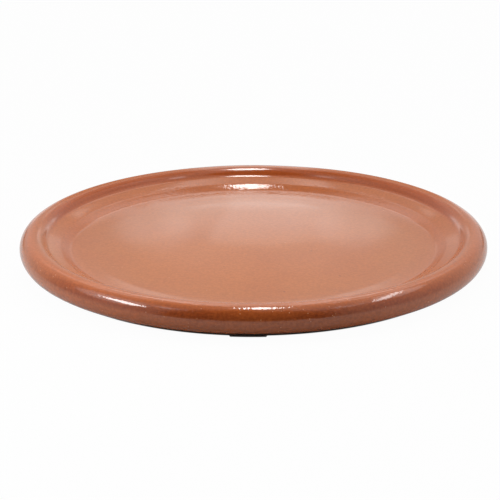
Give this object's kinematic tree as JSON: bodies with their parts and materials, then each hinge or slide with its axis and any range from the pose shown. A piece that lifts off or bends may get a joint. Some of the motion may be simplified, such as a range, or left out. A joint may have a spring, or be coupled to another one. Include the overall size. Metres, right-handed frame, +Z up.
{
  "type": "clay griddle",
  "caption": "Round flat griddle of glazed red earthenware with a thick rolled rim, a sloping well, a flat cooking floor and a bare flat foot.",
  "frame": {"origin": "centre of the flat foot, on the surface that the griddle stands on", "axes": "+Z up along the axis of the turned form; X and Y lie in the plane of the foot and are alike"},
  "size_m": [0.305, 0.305, 0.0213],
  "materials": {
    "bare_clay": "matt unglazed fired terracotta",
    "clear_glaze": "glossy clear-brown lead-free glaze over terracotta"
  },
  "bodies": {
    "root": {"clay_body": "bare_clay", "glaze_coat": "clear_glaze"}
  },
  "joints": []
}
